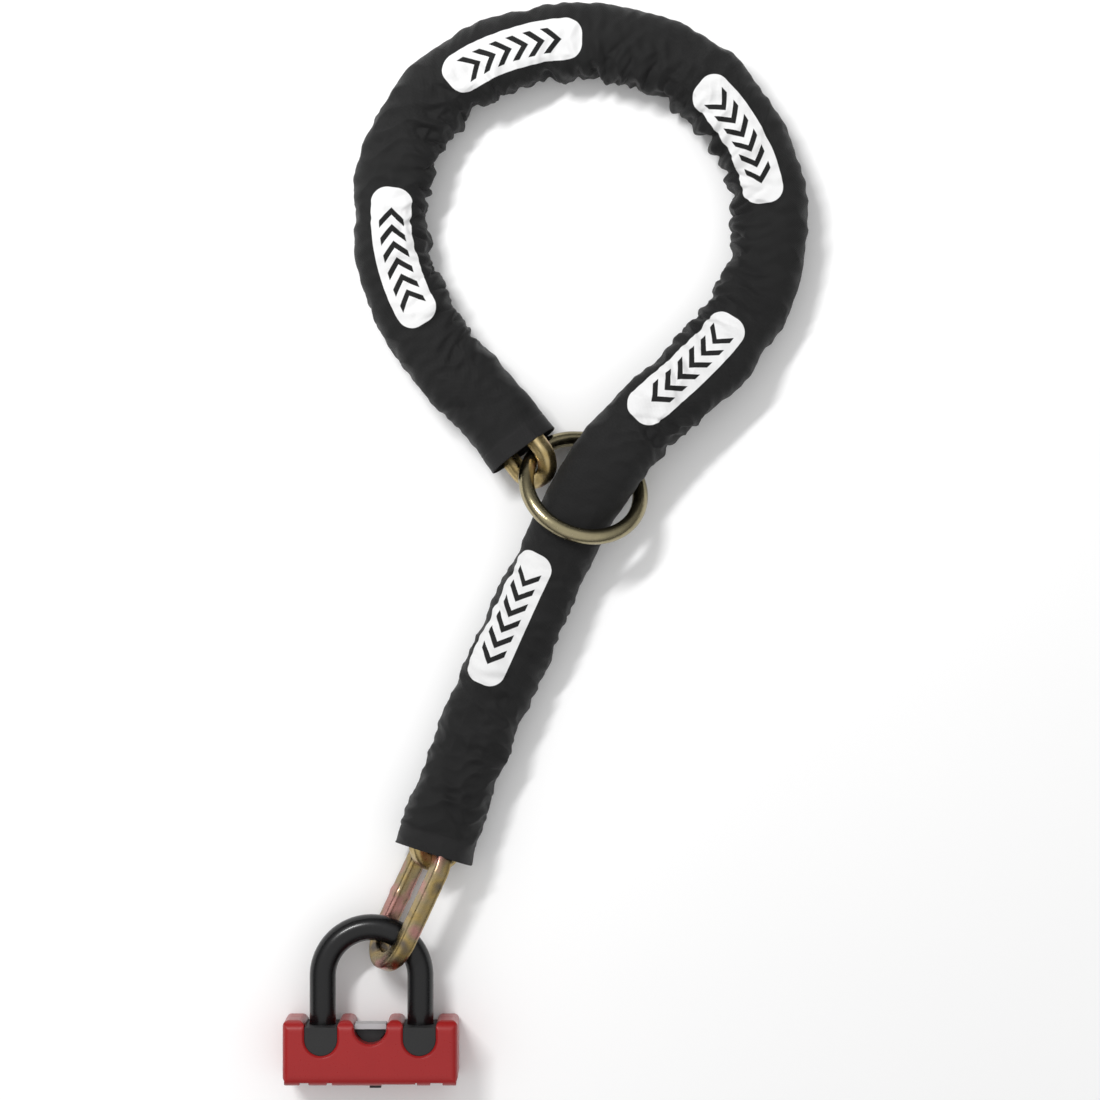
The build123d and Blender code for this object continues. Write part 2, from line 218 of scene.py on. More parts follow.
cloth = {
    "thread": (0.0022, 0.0022, 0.0023),
    # worn tone: random wear, and also painted light on the raised threads of the weave
    "wornAndThreadLight": (0.0078, 0.0078, 0.0079),
    "hem": (0.010, 0.0097, 0.010),
    "threadPitch": 0.0011,
    "patchLong": 0.087,
    "patchWide": 0.0255,
    "patchWhite": (0.83, 0.83, 0.83),
    "patchShadeInWeave": (0.5, 0.5, 0.5),   # painted shade in the hollows of the weave
    "patchRound": 0.0100,
    "chevronPitch": 0.0102,
    "chevronCount": 6,
    "chevronShift": 0.0062,
    "chevronShare": 0.46,       # dark part of each chevron step
    "rowHalfHigh": 0.0078,
    "printEdge": 4000.0,        # how sharp the print's edges are
}


def clothMaterial():
    material, tree, shader = newMaterial("black woven sleeve with printed patches")
    weaveMap = tree.nodes.new("ShaderNodeUVMap")
    weaveMap.uv_map = "weave"
    weave = tree.nodes.new("ShaderNodeSeparateXYZ")
    tree.links.new(weaveMap.outputs[0], weave.inputs[0])
    along, roundWay = weave.outputs[0], weave.outputs[1]
    printMap = tree.nodes.new("ShaderNodeUVMap")
    printMap.uv_map = "print"
    mark = tree.nodes.new("ShaderNodeSeparateXYZ")
    tree.links.new(printMap.outputs[0], mark.inputs[0])
    run, side = mark.outputs[0], mark.outputs[1]
    # plain weave: two sets of threads, each over and under the other
    k = 2 * math.pi / cloth["threadPitch"]
    warp = mathNode(tree, "SINE", mathNode(tree, "MULTIPLY", along, k))
    weft = mathNode(tree, "SINE", mathNode(tree, "MULTIPLY", roundWay, k))
    over = mathNode(tree, "MULTIPLY", warp, weft)
    ribs = mathNode(tree, "ADD", mathNode(tree, "ABSOLUTE", warp), mathNode(tree, "ABSOLUTE", weft))
    threads = mathNode(tree, "ADD", mathNode(tree, "MULTIPLY", over, 0.5),
                       mathNode(tree, "MULTIPLY", ribs, 0.25))
    wear = noiseNode(tree, weaveMap.outputs[0], 60.0, 5.0, 0.6)
    fuzz = noiseNode(tree, weaveMap.outputs[0], 900.0, 2.0, 0.6)
    base = mixColour(tree, mathNode(tree, "MULTIPLY", wear, 0.9), cloth["thread"], cloth["wornAndThreadLight"])
    # painted light: raised threads of the weave lighter and hollows darker, from the weave's height
    base = mixColour(tree, mathNode(tree, "MULTIPLY_ADD", threads, 0.3, 0.25, clamp=True), base, cloth["wornAndThreadLight"])
    # hem band: the last few millimetres, marked in the mesh
    hemNode = tree.nodes.new("ShaderNodeAttribute")
    hemNode.attribute_name = "hemBand"
    base = mixColour(tree, hemNode.outputs["Fac"], base, cloth["hem"])
    # printed patch: a rounded rectangle with a row of chevrons
    absRun = mathNode(tree, "ABSOLUTE", run)
    absSide = mathNode(tree, "ABSOLUTE", side)
    radius = cloth["patchRound"]
    dx = mathNode(tree, "MAXIMUM", mathNode(tree, "SUBTRACT", absRun, cloth["patchLong"] / 2 - radius), 0.0)
    dy = mathNode(tree, "MAXIMUM", mathNode(tree, "SUBTRACT", absSide, cloth["patchWide"] / 2 - radius), 0.0)
    corner = mathNode(tree, "SQRT", mathNode(tree, "ADD", mathNode(tree, "MULTIPLY", dx, dx),
                                             mathNode(tree, "MULTIPLY", dy, dy)))
    edge = mathNode(tree, "SUBTRACT", radius, corner)
    inPatch = mathNode(tree, "MULTIPLY", edge, 4500.0, clamp=True)
    slant = mathNode(tree, "ADD", run, absSide)
    fromStart = mathNode(tree, "ADD", mathNode(tree, "SUBTRACT", slant, cloth["chevronShift"]),
                         cloth["chevronPitch"] * (cloth["chevronCount"] / 2 + 20))
    phase = mathNode(tree, "FRACT", mathNode(tree, "DIVIDE", fromStart, cloth["chevronPitch"]))
    bar = mathNode(tree, "MULTIPLY", mathNode(tree, "SUBTRACT", cloth["chevronShare"], phase), 22.0, clamp=True)
    inRow = mathNode(tree, "MULTIPLY", mathNode(tree, "SUBTRACT", cloth["rowHalfHigh"], absSide),
                     cloth["printEdge"], clamp=True)
    rowHalf = cloth["chevronPitch"] * cloth["chevronCount"] / 2
    fromMiddle = mathNode(tree, "ABSOLUTE", mathNode(tree, "SUBTRACT", slant, cloth["chevronShift"]))
    inEnd = mathNode(tree, "MULTIPLY", mathNode(tree, "SUBTRACT", rowHalf, fromMiddle), cloth["printEdge"], clamp=True)
    chevron = mathNode(tree, "MULTIPLY", mathNode(tree, "MULTIPLY", bar, inRow), inEnd)
    white = mathNode(tree, "SUBTRACT", inPatch, mathNode(tree, "MULTIPLY", chevron, inPatch), clamp=True)
    scuff = mathNode(tree, "MULTIPLY_ADD", wear, 0.16, 0.84, clamp=True)
    # painted shade: the print is mixed toward grey by the weave's height
    printed = mixColour(tree, mathNode(tree, "MULTIPLY", threads, 0.12, clamp=True), cloth["patchWhite"],
                        cloth["patchShadeInWeave"])
    colour = mixColour(tree, mathNode(tree, "MULTIPLY", white, scuff), base, printed)
    tree.links.new(colour, shader.inputs["Base Color"])
    shader.inputs["Roughness"].default_value = 0.62
    shader.inputs["Sheen Weight"].default_value = 0.05
    shader.inputs["Sheen Roughness"].default_value = 0.5
    shader.inputs["Specular IOR Level"].default_value = 0.26
    # threads lie lower under the print
    underPrint = mathNode(tree, "MULTIPLY_ADD", white, -0.5, 1.0)
    height = mathNode(tree, "ADD", mathNode(tree, "MULTIPLY", threads, underPrint),
                      mathNode(tree, "MULTIPLY", fuzz, 0.7))
    bumpNode(tree, shader, height, 0.00022, 0.9)
    return material


plating = {
    "goldA": (0.46, 0.34, 0.14),
    "goldB": (0.54, 0.43, 0.22),
    "rose": (0.50, 0.28, 0.23),
    "smoke": (0.20, 0.17, 0.13),
}


def platedSteel(name, tones, blotch, roughness, seedShift):
    # zinc plate: broad soft blotches of colour, small specks and fine scratches
    material, tree, shader = newMaterial(name)
    place = objectSpace(tree)
    mapping = tree.nodes.new("ShaderNodeMapping")
    mapping.inputs["Location"].default_value = seedShift
    tree.links.new(place, mapping.inputs[0])
    place = mapping.outputs[0]
    broad = noiseNode(tree, place, blotch, 2.0, 0.5)
    fine = noiseNode(tree, place, 420.0, 4.0, 0.6)
    scratch = noiseNode(tree, place, 260.0, 3.0, 0.7, (1.0, 6.0, 3.0))
    colour = rampNode(tree, broad, tones)
    colour = mixColour(tree, mathNode(tree, "MULTIPLY", fine, 0.25), colour, plating["smoke"])
    tree.links.new(colour, shader.inputs["Base Color"])
    shader.inputs["Metallic"].default_value = 1.0
    rough = mathNode(tree, "MULTIPLY_ADD", fine, 0.25, roughness - 0.1, clamp=True)
    tree.links.new(rough, shader.inputs["Roughness"])
    bumpNode(tree, shader, mathNode(tree, "ADD", fine, mathNode(tree, "MULTIPLY", scratch, 0.6)), 0.00012, 0.6)
    return material


def plainStuff(name, colourA, colourB, metallic, roughness, grain, grainDepth, specular=0.5, coat=0.0, bevel=0.0):
    # moulded or turned stuff: two close tones in soft cloud, a fine grain in the surface
    material, tree, shader = newMaterial(name)
    place = objectSpace(tree)
    cloud = noiseNode(tree, place, 45.0, 4.0, 0.55)
    fine = noiseNode(tree, place, grain, 3.0, 0.6)
    tree.links.new(mixColour(tree, cloud, colourA, colourB), shader.inputs["Base Color"])
    shader.inputs["Metallic"].default_value = metallic
    tree.links.new(mathNode(tree, "MULTIPLY_ADD", fine, 0.16, roughness - 0.08, clamp=True),
                   shader.inputs["Roughness"])
    shader.inputs["Specular IOR Level"].default_value = specular
    shader.inputs["Coat Weight"].default_value = coat
    bump = bumpNode(tree, shader, fine, grainDepth, 0.7)
    if bevel:
        soft = tree.nodes.new("ShaderNodeBevel")
        soft.samples = 6
        soft.inputs["Radius"].default_value = bevel
        tree.links.new(soft.outputs[0], bump.inputs["Normal"])
    return material


stuff = {
    "cloth": clothMaterial(),
    "link": platedSteel("zinc plated chain link", [
        (0.30, plating["smoke"]), (0.45, plating["goldA"]), (0.58, plating["goldB"]), (0.72, plating["rose"])],
        70.0, 0.27, (0.0, 0.0, 0.0)),
    "ring": platedSteel("zinc plated ring", [
        (0.30, (0.20, 0.18, 0.11)), (0.50, (0.34, 0.30, 0.18)), (0.70, (0.42, 0.35, 0.24))],
        28.0, 0.20, (0.3, 0.1, 0.0)),
    "red": plainStuff("moulded red plastic", (0.29, 0.009, 0.010), (0.34, 0.013, 0.013), 0.0, 0.30,
                      900.0, 0.00004, 0.36, 0.0, 0.0011),
    "vinyl": plainStuff("black vinyl coat", (0.0035, 0.0035, 0.004), (0.006, 0.006, 0.0065), 0.0, 0.25,
                        500.0, 0.00001, 0.34, 0.05),
    "seal": plainStuff("black rubber collar", (0.010, 0.010, 0.011), (0.018, 0.018, 0.018), 0.0, 0.6,
                       700.0, 0.0001, 0.4, 0.0, 0.0006),
    "case": plainStuff("blackened steel case", (0.03, 0.03, 0.032), (0.06, 0.06, 0.06), 1.0, 0.45,
                       300.0, 0.0001, 0.5, 0.0, 0.0004),
    "hard": plainStuff("bright hardened steel", (0.50, 0.50, 0.50), (0.60, 0.60, 0.59), 1.0, 0.28,
                       600.0, 0.00005, 0.5, 0.0, 0.0004),
    "brass": plainStuff("turned brass", (0.55, 0.40, 0.17), (0.63, 0.48, 0.22), 1.0, 0.30,
                        500.0, 0.00005, 0.5, 0.0, 0.0003),
    "grey": plainStuff("pale grey bar", (0.36, 0.35, 0.36), (0.44, 0.43, 0.44), 0.0, 0.4,
                       700.0, 0.00005, 0.5, 0.0, 0.0004),
    "nub": plainStuff("black moulded slide", (0.012, 0.012, 0.012), (0.02, 0.02, 0.02), 0.0, 0.5,
                      700.0, 0.0001, 0.4, 0.0, 0.0004),
    "screw": plainStuff("zinc screw", (0.45, 0.45, 0.44), (0.6, 0.6, 0.6), 1.0, 0.35,
                        700.0, 0.00005, 0.5, 0.0, 0.0002),
}
print("materials made:", len(stuff))

stuffOfNode = {
    "cover_front": "red", "cover_back": "red", "cover_screws": "screw", "lock_case": "case",
    "leg_seals": "seal", "notch_bar": "grey", "cylinder_housing": "brass", "cylinder_plug": "brass",
    "detainer_discs": "brass", "drive_cam": "hard", "bolt_left": "hard", "bolt_right": "hard",
    "keyhole_cover": "nub", "shackle_core": "hard", "shackle_coat": "vinyl",
}
for nodeName, key in stuffOfNode.items():
    nodes[nodeName].data.materials.clear()
    nodes[nodeName].data.materials.append(stuff[key])


# square-bar links

def squareSection(side, edge, arcSteps=5, flatSteps=3):
    # square with quarter-round corners, walked once round
    half = side / 2
    inner = half - edge
    points = []
    for quarter in range(4):
        start = quarter * math.pi / 2
        centre = np.array([math.copysign(inner, math.cos(start + 0.78)),
                           math.copysign(inner, math.sin(start + 0.78))])
        turn = np.linspace(start, start + math.pi / 2, arcSteps)
        points.append(centre + edge * np.stack([np.cos(turn), np.sin(turn)], -1))
        following = start + math.pi / 2
        nextCentre = np.array([math.copysign(inner, math.cos(following + 0.78)),
                               math.copysign(inner, math.sin(following + 0.78))])
        a = points[-1][-1]
        b = nextCentre + edge * np.array([math.cos(following), math.sin(following)])
        steps = np.linspace(0, 1, flatSteps + 2)[1:-1, None]
        points.append(a + (b - a) * steps)
    return np.concatenate(points)


def linkSurface(name, middle, along, roll, length, gauge, side, edge, weld, weldSide):
    # centreline: two straights joined by half circles, in the plane turned by the roll;
    # the section is carried along it, and swells by the weld at one straight's middle
    along = unit(along)
    level = unit(np.cross([0, 0, 1.0], along))
    upright = np.cross(along, level)
    a = math.radians(roll)
    across = level * math.cos(a) + upright * math.sin(a)
    out = -level * math.sin(a) + upright * math.cos(a)
    straight = (length - gauge) / 2
    bend = np.linspace(-math.pi / 2, math.pi / 2, 40)
    run = np.linspace(-straight, straight, 30)[1:-1]
    x = np.concatenate([straight + gauge / 2 * np.cos(bend), run[::-1],
                        -straight - gauge / 2 * np.cos(bend), run])
    y = np.concatenate([gauge / 2 * np.sin(bend), np.full(28, gauge / 2),
                        -gauge / 2 * np.sin(bend), np.full(28, -gauge / 2)])
    line = np.stack([x, y], -1)
    tangent = unit(np.roll(line, -1, 0) - np.roll(line, 1, 0))
    normal = np.stack([tangent[:, 1], -tangent[:, 0]], -1)
    section = squareSection(side, edge)
    swell = 1 + weld / side * 2 * np.exp(-((x / 0.0022) ** 2)) * (y * weldSide > gauge * 0.49)
    dent = 1 + 0.006 * np.sin(x * 700 + y * 300)
    size = (swell * dent)[:, None]
    flat = line[:, None] + normal[:, None] * (section[None, :, 0] * size)[..., None]
    lift = section[None, :, 1] * size
    grid = middle + flat[..., :1] * along + flat[..., 1:] * across + lift[..., None] * out
    return meshFromGrid(name, grid, wrapRows=True)


for index in range(chain["links"]):
    number = index + 1
    rollHere = chain["roll"] if number % 2 == 0 else -chain["roll"]
    if number == chain["links"]:
        rollHere = chain["lastRoll"]
    span = hinge[index + 1] - hinge[index]
    made = linkSurface(f"chainLink{number:02d}", linkMiddle[index], span, rollHere,
                       np.linalg.norm(span) + 2 * chain["hook"] * millimetre, chain["gauge"] * millimetre,
                       chain["barSide"] * millimetre, chain["barEdge"] * millimetre,
                       chain["weld"] * millimetre, 1 if number % 3 else -1)
    made.data.materials.append(stuff["link"])
    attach(made, bodyOf(f"link_{number:02d}"))
    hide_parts(f"link_{number:02d}")
print("chain links swept:", chain["links"])

endLink = {
    "heading": -115.0,
    "roll": 64.0,
    "length": 79.0,
    "gauge": 34.5,
    "barSide": 10.5,
    "barEdge": 2.6,
    "weld": 0.5,
}
turn = math.radians(endLink["heading"])
endLinkPiece = linkSurface("endLink", nodeMiddle("end_link"), np.array([math.cos(turn), math.sin(turn), 0.0]),
                           endLink["roll"], endLink["length"] * millimetre, endLink["gauge"] * millimetre,
                           endLink["barSide"] * millimetre, endLink["barEdge"] * millimetre,
                           endLink["weld"] * millimetre, -1)
endLinkPiece.data.materials.append(platedSteel("zinc plated end link", [
    (0.36, (0.13, 0.11, 0.09)), (0.46, (0.42, 0.30, 0.11)), (0.55, (0.34, 0.27, 0.15)), (0.66, (0.50, 0.25, 0.22))],
    48.0, 0.25, (0.02, 0.05, 0.0)))
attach(endLinkPiece, bodyOf("end_link"))
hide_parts("end_link")


# round ring

ring = {
    "radius": 35.5,
    "bar": 9.4,
    "compass": -114.2,
    "tilt": 36.5,
    "weld": 0.35,
    "weldAt": 200.0,
}


def ringSurface():
    # a circle of bar carried round the ring's centreline, a little fuller at the weld
    rise = math.radians(ring["compass"])
    tilt = math.radians(ring["tilt"])
    uphill = np.array([math.cos(rise) * math.cos(tilt), math.sin(rise) * math.cos(tilt), math.sin(tilt)])
    level = np.array([-math.sin(rise), math.cos(rise), 0.0])
    axis = np.cross(uphill, level)
    u = np.linspace(0, 2 * math.pi, 160, endpoint=False)[:, None, None]
    v = np.linspace(0, 2 * math.pi, 40, endpoint=False)[None, :, None]
    spread = (u - math.radians(ring["weldAt"]) + math.pi) % (2 * math.pi) - math.pi
    bar = (ring["bar"] / 2 + ring["weld"] * np.exp(-((spread / 0.05) ** 2))) * millimetre
    out = uphill * np.cos(u) + level * np.sin(u)
    grid = nodeMiddle("ring") + out * (ring["radius"] * millimetre + bar * np.cos(v)) + axis * bar * np.sin(v)
    return meshFromGrid("endRing", grid[:, ::-1], wrapRows=True)


ringPiece = ringSurface()
ringPiece.data.materials.append(stuff["ring"])
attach(ringPiece, bodyOf("ring"))
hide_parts("ring")
print("end link and ring made")


# woven sleeve

sleeve = {
    "ringHem": 13.0,            # hem back from the first hinge point
    "tailHem": -1.0,            # hem back from the last hinge point
    "halfWidth": 23.0,
    "halfHeight": 18.0,
    "squareness": 2.7,
    "crossing": (23.0, 17.1),   # half width and height inside the ring
    "belowRing": (21.8, 17.4),
    "thick": 1.2,
    "turnIn": 22.0,
    "hemWide": 12.0,
    "stitchAt": 10.5,           # row of stitches, from the hem's edge
    "stitchDeep": 0.45,
    "flare": 0.9,               # wave of the open edge
    "pinch": 1.0,
    "overFloor": 0.25,
    "ruche": 1.9,               # depth of the gathers on the inside of the loop
    "rucheEvery": 15.5,
    "slack": 1.6,
    "drape": 1.1,
    "crease": 1.5,              # depth of the sharp small creases
    "overChain": (16.1, 26.2),  # nearest the cloth comes to the chain: flat sides, corners
    "patches": (140.0, 300.0, 465.0, 628.5, 811.0),   # run from the hem
    "patchAside": (1.8, 0.7, 3.8, 5.3, 10.0),         # off the top line, to the right of the run
    "rowStep": 0.75,
    "cols": 150,
}

pathStep = 60
pieces = []
for i in range(1, chain["links"]):
    t = np.linspace(0, 1, pathStep, endpoint=False)[:, None]
    pieces.append((1 - t) ** 2 * linkMiddle[i - 1] + 2 * t * (1 - t) * hinge[i] + t ** 2 * linkMiddle[i])
lead = np.linspace(0, 1, 40, endpoint=False)[:, None]
tail = np.linspace(0, 1.2, 49)[:, None]     # a little past the last hinge point
path = np.concatenate([hinge[0] + (linkMiddle[0] - hinge[0]) * lead, *pieces,
                       linkMiddle[-1] + (hinge[-1] - linkMiddle[-1]) * tail])
pathRun = np.concatenate([[0], np.cumsum(np.linalg.norm(np.diff(path, axis=0), axis=1))]) * 1000
pathWay = unit(np.gradient(path, axis=0))
middleRun = [pathRun[40 + pathStep * i] for i in range(chain["links"])]
hemStart = sleeve["ringHem"]
hemEnd = pathRun[-9] - sleeve["tailHem"]
heading = np.unwrap(np.arctan2(pathWay[:, 1], pathWay[:, 0]))
bendRate = np.gradient(heading, pathRun)
kernel = np.ones(81) / 81
bendRate = np.convolve(np.pad(bendRate, 40, mode="edge"), kernel, "valid")

# half width and half height at the middle of each link, joined smoothly
stations = [hemStart] + middleRun + [hemEnd]
widths = [22.0] + [sleeve["halfWidth"]] * 21 + [22.6]
heights = [15.0] + [sleeve["halfHeight"]] * 21 + [19.4]
for i in range(2, 21):
    widths[i] += (0.9, -0.7, 0.3, 1.0, -0.9, 0.5, -0.3)[i % 7]
widths[1], heights[1] = 22.4, 17.4
heights[15] = 18.8
widths[16], heights[16] = sleeve["crossing"]
widths[17], heights[17] = sleeve["belowRing"]


def smoothAlong(run, values):
    dense = np.interp(pathRun, stations, values)
    soft = np.ones(45) / 45
    dense = np.convolve(np.pad(dense, 22, mode="edge"), soft, "valid")
    return np.interp(run, pathRun, dense)


rng = np.random.default_rng(7)
waves = [(rng.uniform(0.05, 0.30), rng.integers(-4, 5), rng.uniform(0, 6.28), rng.uniform(0.4, 1.0))
         for _ in range(14)]
fineWaves = [(rng.uniform(0.35, 0.9), rng.integers(-9, 10), rng.uniform(0, 6.28), rng.uniform(0.3, 1.0))
             for _ in range(14)]


creaseWaves = [(rng.uniform(0.10, 0.42), rng.integers(-5, 6), rng.uniform(0, 6.28), rng.uniform(0.5, 1.0))
               for _ in range(9)]


def waveSum(parts, run, turn):
    # sum of sines along the run and round the tube, whole turns only, so it closes
    total = 0
    for k, m, phase, share in parts:
        total = total + share * np.sin(k * run + m * turn + phase)
    return total / sum(p[3] for p in parts)


# run, turn from the top toward the inner side, depth, run spread, turn spread, slant
folds = [
    (478.0, 0.75, 3.6, 5.5, 0.55, 6.0),
    (430.0, 1.2, 3.0, 5.0, 0.7, -4.0),
    (262.0, 1.2, 2.6, 5.0, 0.7, 5.0),
    (100.0, 1.1, 2.2, 5.0, 0.6, -6.0),
    (560.0, 1.2, 2.8, 5.0, 0.7, 4.0),
]
# deep notches along the inner edge, where the cloth has nowhere to go
for at in np.arange(78.0, 690.0, 24.0):
    folds.append((at + rng.uniform(-9, 9), rng.uniform(1.35, 1.9), rng.uniform(1.0, 5.6), rng.uniform(2.6, 6.0),
                  rng.uniform(0.35, 0.75), rng.uniform(-7, 7)))
# many smaller creases that start on the inner side and run out over the top
for at in np.arange(60.0, 690.0, 13.0):
    folds.append((at + rng.uniform(-5, 5), rng.uniform(0.5, 1.5), rng.uniform(0.5, 2.2), rng.uniform(1.6, 3.6),
                  rng.uniform(0.35, 0.95), rng.uniform(-14, 14)))
for at in np.arange(700.0, 965.0, 17.0):
    folds.append((at + rng.uniform(-6, 6), rng.uniform(-1.5, 1.5), rng.uniform(0.4, 1.5), rng.uniform(1.8, 4.0),
                  rng.uniform(0.35, 0.9), rng.uniform(-16, 16)))


def clothPoints(run, inset, turn):
    # run is mm along the path, turn the angle round the tube from the left of the run
    # (a quarter turn is the top), inset how far the point lies inside the outer surface.
    # base section: superellipse of the local half width and height; the surface then
    # moves in or out for the links under it, the pinch at each hinge, the gathers on
    # the inside of a bend, creases and loose waves, but never nearer than the chain
    # allows; the underside is pressed flat on the floor
    centre = np.stack([np.interp(run, pathRun, path[:, k]) for k in range(3)], -1) * 1000
    way = unit(np.stack([np.interp(run, pathRun, pathWay[:, k]) for k in range(3)], -1))
    level = unit(np.cross([0, 0, 1.0], way))
    upright = np.cross(way, level)
    bend = np.interp(run, pathRun, bendRate)[:, None]
    half = smoothAlong(run, widths)[:, None]
    tall = smoothAlong(run, heights)[:, None]
    s = run[:, None]
    c, z = np.cos(turn)[None], np.sin(turn)[None]
    tight = np.clip((tall - 17.1) / 0.9, 0, 1)
    n = sleeve["squareness"] - 0.35 * (1 - tight)
    radius = ((np.abs(c) / half) ** n + (np.abs(z) / tall) ** n) ** (-1 / n)
    linkNumber = np.interp(run, middleRun, np.arange(1, 22))[:, None]
    alternate = np.cos(math.pi * linkNumber)
    nearHinge = 0.5 - 0.5 * np.cos(2 * math.pi * linkNumber)
    free = 0.12 + 0.88 * tight
    drape = sleeve["drape"] * np.sin(2 * turn)[None] * alternate
    pinch = -sleeve["pinch"] * nearHinge * (0.6 + 0.4 * np.abs(c))
    inner = np.clip(np.sign(bend) * c * 0.75 + 0.30, 0, 1) ** 1.3
    bent = np.clip(np.abs(bend) / 0.0085, 0, 1.15)
    wander = 0.42 * waveSum(waves, s * 0.7, turn[None]) + 0.16 * waveSum(fineWaves, s * 0.4, turn[None])
    gather = np.abs(np.sin(math.pi * (s / sleeve["rucheEvery"] + 1.5 * wander))) ** 0.75
    uneven = np.clip(0.7 + 1.6 * waveSum(waves, s * 0.45 + 40, turn[None]), 0.1, 2.0)
    gathers = sleeve["ruche"] * (gather - 0.75) * inner * bent * uneven * 1.6
    loose = sleeve["slack"] * (1.5 * waveSum(waves, s, turn[None]) + 0.35 * waveSum(fineWaves, s, turn[None]))
    bendy = s + 9.0 * waveSum(waves, s * 0.6 + 11, turn[None])
    creased = 0.5 - np.abs(waveSum(creaseWaves, bendy, turn[None])) * 2.2
    small = sleeve["crease"] * (creased + 0.5 * waveSum(fineWaves, bendy, turn[None])) * (0.75 + 0.5 * inner)
    move = (drape + pinch + gathers + loose + small) * free
    for at, side, depth, spreadRun, spreadTurn, slant in folds:
        lean = np.sign(np.interp(at, pathRun, bendRate))
        toward = math.pi / 2 - lean * side
        away = (turn[None] - toward + math.pi) % (2 * math.pi) - math.pi
        across = (s - at - slant * away) / spreadRun
        crease = np.exp(-(across ** 2)) - 0.45 * np.exp(-(((across - 1.9) / 1.1) ** 2))
        move = move - depth * crease * np.exp(-((away / spreadTurn) ** 2)) * free
    # hem: a doubled band and its row of stitches
    edge = np.minimum(s - hemStart, hemEnd - s)
    band = 1 / (1 + np.exp((edge - sleeve["hemWide"]) * 3))
    stitch = np.exp(-((edge - sleeve["stitchAt"]) / 0.5) ** 2)
    flare = np.exp(-np.clip(edge, 0, None) / 5.0) * sleeve["flare"] * np.sin(2 * turn + 0.8)[None]
    move = move * (1 - 0.45 * band) + 0.35 * band - sleeve["stitchDeep"] * stitch + flare
    # the links inside fill an octagon: flat sides and cut corners
    flatSide, cutCorner = sleeve["overChain"]
    least = 1 / np.maximum(np.maximum(np.abs(c), np.abs(z)) / flatSide, (np.abs(c) + np.abs(z)) / cutCorner)
    spare = radius + move - least
    radius = least + 0.5 * (spare + np.sqrt(spare ** 2 + 0.3)) - inset[:, None]
    y = radius * c
    up = radius * z
    points = centre[:, None] + level[:, None] * y[..., None] + upright[:, None] * up[..., None]
    lowest = sleeve["overFloor"] + inset[:, None]
    low = points[..., 2] - lowest
    points[..., 2] = lowest + 0.5 * (low + np.sqrt(low ** 2 + 0.25))
    return points * millimetre


def sleevePiece(name, fromRun, toRun, hemAtStart=False, hemAtEnd=False):
    steps = max(8, int(round((toRun - fromRun) / sleeve["rowStep"])))
    run = np.linspace(fromRun, toRun, steps + 1)
    inset = np.zeros_like(run)
    rim = np.linspace(0, math.pi, 9)[1:]
    thick = sleeve["thick"]
    back = np.linspace(0.6, sleeve["turnIn"], 16)
    if hemAtStart:
        run = np.concatenate([(fromRun + back)[::-1], fromRun - thick / 2 * np.sin(rim)[::-1], run])
        inset = np.concatenate([np.full(16, thick), thick / 2 * (1 - np.cos(rim))[::-1], inset])
    if hemAtEnd:
        run = np.concatenate([run, toRun + thick / 2 * np.sin(rim), toRun - back])
        inset = np.concatenate([inset, thick / 2 * (1 - np.cos(rim)), np.full(16, thick)])
    # one ghost row each side, so that shading runs on across the piece's end
    first = 2 * run[0] - run[1]
    last = 2 * run[-1] - run[-2]
    allRun = np.concatenate([[first], run, [last]])
    allInset = np.concatenate([[inset[0]], inset, [inset[-1]]])
    cols = sleeve["cols"]
    turn = np.linspace(-math.pi / 2, 1.5 * math.pi, cols, endpoint=False)
    grid = clothPoints(allRun, allInset, turn)
    alongStep = grid[2:] - grid[:-2]
    roundStep = np.roll(grid, -1, 1)[1:-1] - np.roll(grid, 1, 1)[1:-1]
    normals = unit(np.cross(roundStep, alongStep))
    grid = grid[1:-1]
    closed = np.concatenate([grid, grid[:, :1]], 1)
    steps = np.cumsum(np.linalg.norm(np.diff(closed, axis=1), axis=2), 1)
    roundWay = np.concatenate([np.zeros((len(run), 1)), steps], 1)
    roundWay = roundWay - roundWay[:, cols // 2][:, None]
    along = np.repeat(run[:, None], cols + 1, 1) * millimetre
    marks = np.array(sleeve["patches"]) * millimetre + hemStart * millimetre
    which = np.argmin(np.abs(along[..., None] - marks), -1)
    nearest = marks[which]
    aside = np.array(sleeve["patchAside"])[which] * millimetre
    # far from a patch, and on the turned-in cloth, the print map is pushed out of reach
    away = np.abs(along - nearest) > 0.06
    hidden = np.where((inset[:, None] > 0.05) | away, 5.0, 0.0)
    made = meshFromGrid(name, grid, normals, maps={
        "weave": (along, roundWay), "print": (along - nearest, roundWay - aside + hidden)})
    edge = np.minimum(run - hemStart, hemEnd - run)
    band = np.clip((sleeve["hemWide"] - edge) / 0.8, 0, 1) * np.ones((1, cols)).T
    attribute = made.data.attributes.new("hemBand", "FLOAT", "POINT")
    attribute.data.foreach_set("value", band.T.reshape(-1).astype(np.float32))
    made.data.materials.append(stuff["cloth"])
    girth = float(np.mean(roundWay[:, -1] - roundWay[:, 0]))
    length = float(np.sum(np.linalg.norm(np.diff(grid.mean(1), axis=0), axis=1)))
    return made, girth, max(length, 0.012)


def bodyOfSleeve(number):
    return bodyOf(f"sleeve_{number:02d}")


